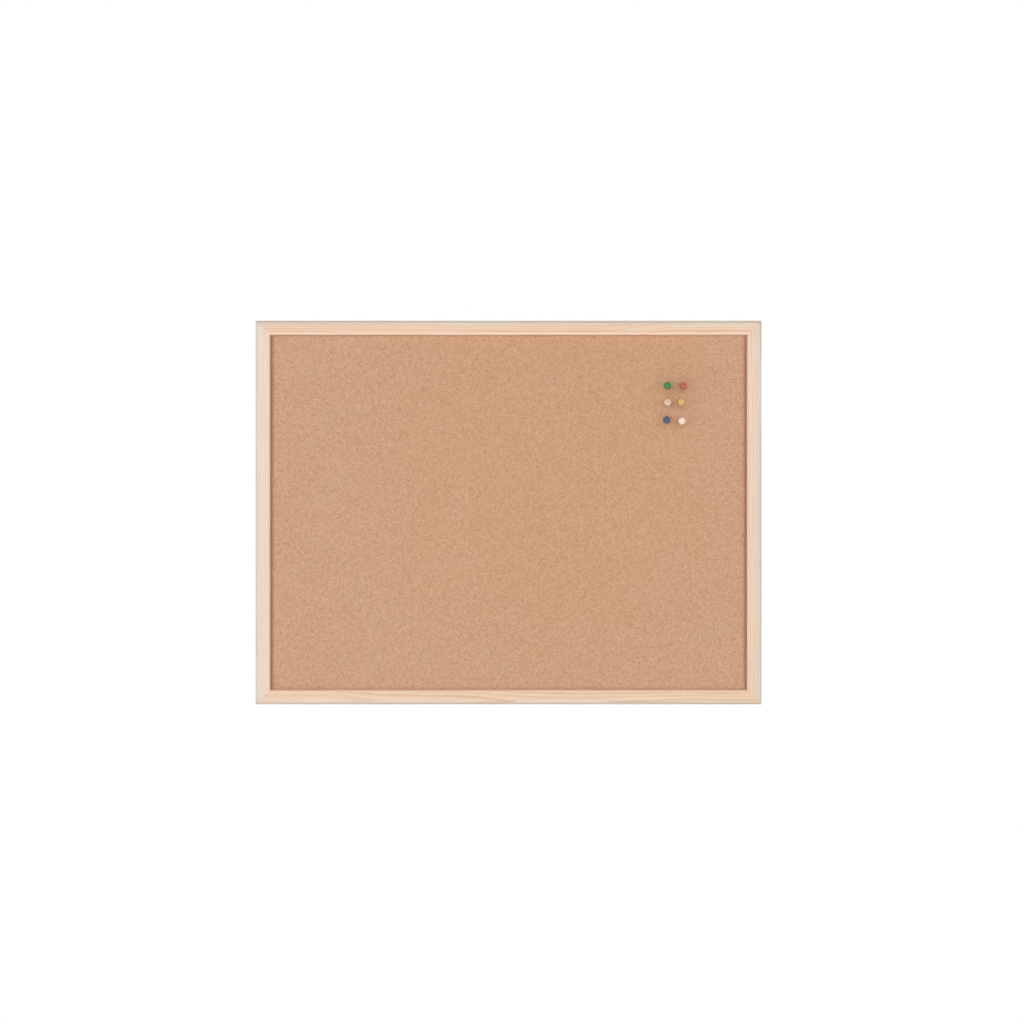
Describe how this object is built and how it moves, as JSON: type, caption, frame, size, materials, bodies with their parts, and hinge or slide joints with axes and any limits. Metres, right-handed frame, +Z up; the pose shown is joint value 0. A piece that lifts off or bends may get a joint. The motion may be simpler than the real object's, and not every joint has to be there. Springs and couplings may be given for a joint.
{
  "type": "cork board",
  "caption": "Cork notice board in a mitred pine frame, with push pins in the cork and swinging hanging rings on the back for wall hooks.",
  "frame": {"origin": "in the plane of the frame's back, midway between the points where the two hanging rings bear on their wall hooks", "axes": "+X along the board's width to the viewer's right, the cork faces -Y, +Z up the wall"},
  "size_m": [0.6, 0.0292, 0.455],
  "materials": {
    "pine": "bare planed pine, satin",
    "cork": "fine-grained pressed cork, matte",
    "fibreboard": "soft fibreboard, matte",
    "zinc_steel": "bright zinc plating",
    "needle_steel": "polished steel",
    "pin_green": "moulded plastic, glossy",
    "pin_red": "moulded plastic, glossy",
    "pin_clear": "moulded translucent plastic, glossy",
    "pin_yellow": "moulded plastic, glossy",
    "pin_blue": "moulded plastic, glossy",
    "pin_white": "moulded plastic, glossy"
  },
  "bodies": {
    "board": {"frame_rail_bottom": "pine", "frame_rail_right": "pine", "frame_rail_top": "pine", "frame_rail_left": "pine", "corner_nail_bottom_left_1": "zinc_steel", "corner_nail_bottom_left_2": "zinc_steel", "corner_nail_bottom_right_1": "zinc_steel", "corner_nail_bottom_right_2": "zinc_steel", "corner_nail_top_right_1": "zinc_steel", "corner_nail_top_right_2": "zinc_steel", "corner_nail_top_left_1": "zinc_steel", "corner_nail_top_left_2": "zinc_steel", "retaining_point_bottom_1": "zinc_steel", "retaining_point_bottom_2": "zinc_steel", "retaining_point_bottom_3": "zinc_steel", "retaining_point_top_1": "zinc_steel", "retaining_point_top_2": "zinc_steel", "retaining_point_top_3": "zinc_steel", "retaining_point_right_1": "zinc_steel", "retaining_point_right_2": "zinc_steel", "retaining_point_left_1": "zinc_steel", "retaining_point_left_2": "zinc_steel", "hanger_strap_left": "zinc_steel", "hanger_screw_left": "zinc_steel", "hanger_strap_right": "zinc_steel", "hanger_screw_right": "zinc_steel", "cork_sheet": "cork", "backing_board": "fibreboard"},
    "ring_left": {"hanger_ring_left": "zinc_steel"},
    "ring_right": {"hanger_ring_right": "zinc_steel"},
    "pin_green": {"pin_head_green": "pin_green", "pin_needle_green": "needle_steel"},
    "pin_red": {"pin_head_red": "pin_red", "pin_needle_red": "needle_steel"},
    "pin_clear": {"pin_head_clear": "pin_clear", "pin_needle_clear": "needle_steel"},
    "pin_yellow": {"pin_head_yellow": "pin_yellow", "pin_needle_yellow": "needle_steel"},
    "pin_blue": {"pin_head_blue": "pin_blue", "pin_needle_blue": "needle_steel"},
    "pin_white": {"pin_head_white": "pin_white", "pin_needle_white": "needle_steel"}
  },
  "joints": [
    {"name": "ring_left_swing", "type": "hinge", "parent": "board", "child": "ring_left", "pos_m": [-0.2928, 0.0019, -0.00887], "axis": [-1, 0, 0], "range_deg": [0, 180]},
    {"name": "ring_right_swing", "type": "hinge", "parent": "board", "child": "ring_right", "pos_m": [0.2928, 0.0019, -0.00887], "axis": [-1, 0, 0], "range_deg": [0, 180]},
    {"name": "pin_green_pull", "type": "slide", "parent": "board", "child": "pin_green", "axis": [0, -1, 0], "range_m": [0, 0.012]},
    {"name": "pin_red_pull", "type": "slide", "parent": "board", "child": "pin_red", "axis": [0, -1, 0], "range_m": [0, 0.012]},
    {"name": "pin_clear_pull", "type": "slide", "parent": "board", "child": "pin_clear", "axis": [0, -1, 0], "range_m": [0, 0.012]},
    {"name": "pin_yellow_pull", "type": "slide", "parent": "board", "child": "pin_yellow", "axis": [0, -1, 0], "range_m": [0, 0.012]},
    {"name": "pin_blue_pull", "type": "slide", "parent": "board", "child": "pin_blue", "axis": [0, -1, 0], "range_m": [0, 0.012]},
    {"name": "pin_white_pull", "type": "slide", "parent": "board", "child": "pin_white", "axis": [0, -1, 0], "range_m": [0, 0.012]}
  ]
}
